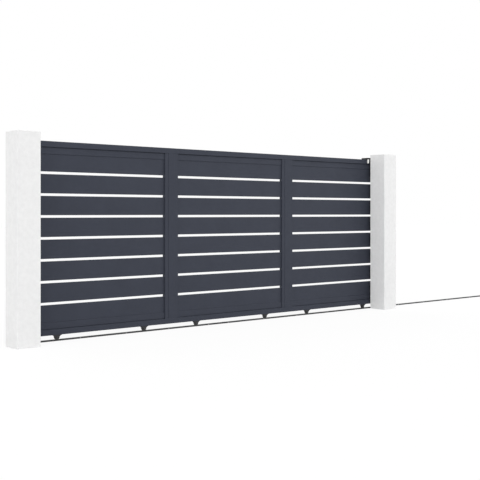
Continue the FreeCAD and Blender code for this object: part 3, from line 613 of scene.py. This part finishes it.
class GATE_OT_dress_guide(bpy.types.Operator):
    """Finishes the guide bracket, its pins and rollers, and bolts it to the pillar"""

    bl_idname = "gate.dress_guide"
    bl_label = "Dress guide"

    def execute(self, context):
        settings, sizes = context.scene.gate_finish, context.scene.gate_fasteners
        # The bracket's darker paint is painted shade.
        dress(bracket_painted_shade(), ["guide_bracket"])
        dress(zinc_finish(), nodes_named("guide_pin"))
        dress(turned_nylon("turned_roller", settings.rollers, TURNED_ABOUT_Z), nodes_named("guide_roller"))
        pillar_low, pillar_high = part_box("right_pillar")
        start = pillar_low.x + sizes.bracket_room + sizes.bracket_end
        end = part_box("guide_bracket")[1].x - sizes.bracket_end
        back = pillar_high.y + sizes.bracket_plate
        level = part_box("rail_end_caps")[1].z + sizes.bracket_room - sizes.bracket_drop
        spots = [((along, back, level), BACK) for along in (start, end)]
        fasten("bracket_anchors", "posts", spots, HEXAGON_HEAD,
               head_sizes(sizes.anchor, sizes.anchor_height, sizes.anchor_washer))
        return {"FINISHED"}


class GATE_OT_dress_catch(bpy.types.Operator):
    """Finishes the catch and its rubber buffer, and bolts the catch to the pillar"""

    bl_idname = "gate.dress_catch"
    bl_label = "Dress catch"

    def execute(self, context):
        settings, sizes = context.scene.gate_finish, context.scene.gate_fasteners
        # The catch's darker paint is painted shade.
        dress(bracket_painted_shade(), ["leaf_catch"])
        dress(moulded("buffer_rubber", settings.buffer, grain=0.0012, roughness=0.85), ["catch_buffer"])
        low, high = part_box("leaf_catch")
        along, back = (low.x + high.x + sizes.catch_wall) / 2, low.y + sizes.catch_wall
        levels = (low.z + sizes.catch_end, high.z - sizes.catch_end)
        spots = [((along, back, level), BACK) for level in levels]
        fasten("catch_anchors", "posts", spots, HEXAGON_HEAD,
               head_sizes(sizes.anchor, sizes.anchor_height, sizes.anchor_washer))
        return {"FINISHED"}


def soft_lamp(name, level, turn, settings):
    """A broad distant lamp, turned about the upright axis from the gate's street side."""
    light = bpy.data.lights.new(name, "SUN")
    light.energy = level
    light.angle = settings.lamp_spread
    lamp = add_object(name, light)
    lamp.rotation_euler = (LEVEL - settings.lamp_height, 0, turn)


def seen_directly(tree):
    """One on the rays that the camera sees, also in gloss and glass, and nought on the rays that light."""
    path = tree.nodes.new("ShaderNodeLightPath")
    either = path.outputs["Is Camera Ray"]
    for ray in ("Is Glossy Ray", "Is Transmission Ray"):
        larger = tree.nodes.new("ShaderNodeMath")
        larger.operation = "MAXIMUM"
        tree.links.new(either, larger.inputs[0])
        tree.links.new(path.outputs[ray], larger.inputs[1])
        either = larger.outputs["Value"]
    return either


def white_surround(settings):
    """A sky that looks white and lights the gate evenly from all round."""
    world = bpy.data.worlds.new("white_surround")
    world.use_nodes = True
    tree = world.node_tree
    sky = tree.nodes["Background"]
    sky.inputs["Color"].default_value = grey(1)
    level = tree.nodes.new("ShaderNodeMapRange")
    level.inputs["To Min"].default_value = settings.sky
    tree.links.new(seen_directly(tree), level.inputs["Value"])
    tree.links.new(level.outputs["Result"], sky.inputs["Strength"])
    return world


def stage_floor(settings):
    """A pale floor that looks white to the camera and in reflections, and keeps a faint shadow."""
    material = bpy.data.materials.new("stage_floor")
    material.use_nodes = True
    tree = material.node_tree
    tree.nodes.clear()
    pale = tree.nodes.new("ShaderNodeBsdfDiffuse")
    pale.inputs["Color"].default_value = grey(settings.floor_tone)
    shadow = tree.nodes.new("ShaderNodeBsdfDiffuse")
    shadow.inputs["Color"].default_value = grey(settings.floor_shadow)
    glow = tree.nodes.new("ShaderNodeEmission")
    glow.inputs["Strength"].default_value = 1 - settings.floor_shadow
    seen = tree.nodes.new("ShaderNodeAddShader")
    tree.links.new(shadow.outputs["BSDF"], seen.inputs[0])
    tree.links.new(glow.outputs["Emission"], seen.inputs[1])
    choice = tree.nodes.new("ShaderNodeMixShader")
    tree.links.new(seen_directly(tree), choice.inputs["Fac"])
    tree.links.new(pale.outputs["BSDF"], choice.inputs[1])
    tree.links.new(seen.outputs["Shader"], choice.inputs[2])
    output = tree.nodes.new("ShaderNodeOutputMaterial")
    tree.links.new(choice.outputs["Shader"], output.inputs["Surface"])
    return material


class GATE_OT_set_stage(bpy.types.Operator):
    """Lays the pale floor, lights it from all round and sets the camera"""

    bl_idname = "gate.set_stage"
    bl_label = "Set stage"

    def execute(self, context):
        settings = context.scene.gate_stage
        half, level = settings.floor_half, -settings.floor_sink
        corners = [(-half, -half, level), (half, -half, level), (half, half, level), (-half, half, level)]
        mesh = bpy.data.meshes.new("floor")
        mesh.from_pydata(corners, [], [(0, 1, 2, 3)])
        mesh.materials.append(stage_floor(settings))
        floor = add_object("floor", mesh)

        context.scene.world = white_surround(settings)
        soft_lamp("left_lamp", settings.left_lamp, -settings.left_turn, settings)
        soft_lamp("right_lamp", settings.right_lamp, settings.right_turn, settings)
        soft_lamp("back_lamp", settings.back_lamp, math.pi, settings)

        data = bpy.data.cameras.new("photo_camera")
        data.lens = settings.camera_lens
        data.sensor_width = SENSOR_WIDTH
        data.shift_y = settings.camera_rise
        camera = add_object("photo_camera", data)
        camera.location = settings.camera_place
        camera.rotation_euler = (LEVEL, 0, -settings.camera_turn)
        context.scene.camera = camera
        context.scene.view_settings.view_transform = "Standard"
        return {"FINISHED"}


class GATE_PT_sidebar(bpy.types.Panel):
    """Lists the gate's steps and settings in the sidebar"""

    bl_idname = "GATE_PT_sidebar"
    bl_label = "Sliding gate"
    bl_space_type = "VIEW_3D"
    bl_region_type = "UI"
    bl_category = "Gate"

    def draw(self, context):
        for step in STEPS:
            self.layout.operator(step.bl_idname)
        for name, group in GROUPS.items():
            box = self.layout.box()
            for entry in group.__annotations__:
                box.prop(getattr(context.scene, name), entry)


GROUPS = {"gate_finish": GateFinish, "gate_fasteners": GateFasteners, "gate_stage": GateStage}
STEPS = (GATE_OT_dress_pillars, GATE_OT_dress_leaf, GATE_OT_dress_rail, GATE_OT_dress_running_gear,
         GATE_OT_dress_guide, GATE_OT_dress_catch, GATE_OT_set_stage)
CLASSES = (*GROUPS.values(), *STEPS, GATE_PT_sidebar)


def register():
    for item in CLASSES:
        bpy.utils.register_class(item)
    for name, group in GROUPS.items():
        setattr(bpy.types.Scene, name, PointerProperty(type=group))


def unregister():
    for name in GROUPS:
        delattr(bpy.types.Scene, name)
    for item in reversed(CLASSES):
        bpy.utils.unregister_class(item)


def main():
    register()
    for step in STEPS:
        family, action = step.bl_idname.split(".")
        getattr(getattr(bpy.ops, family), action)()


if __name__ == "__main__":
    main()
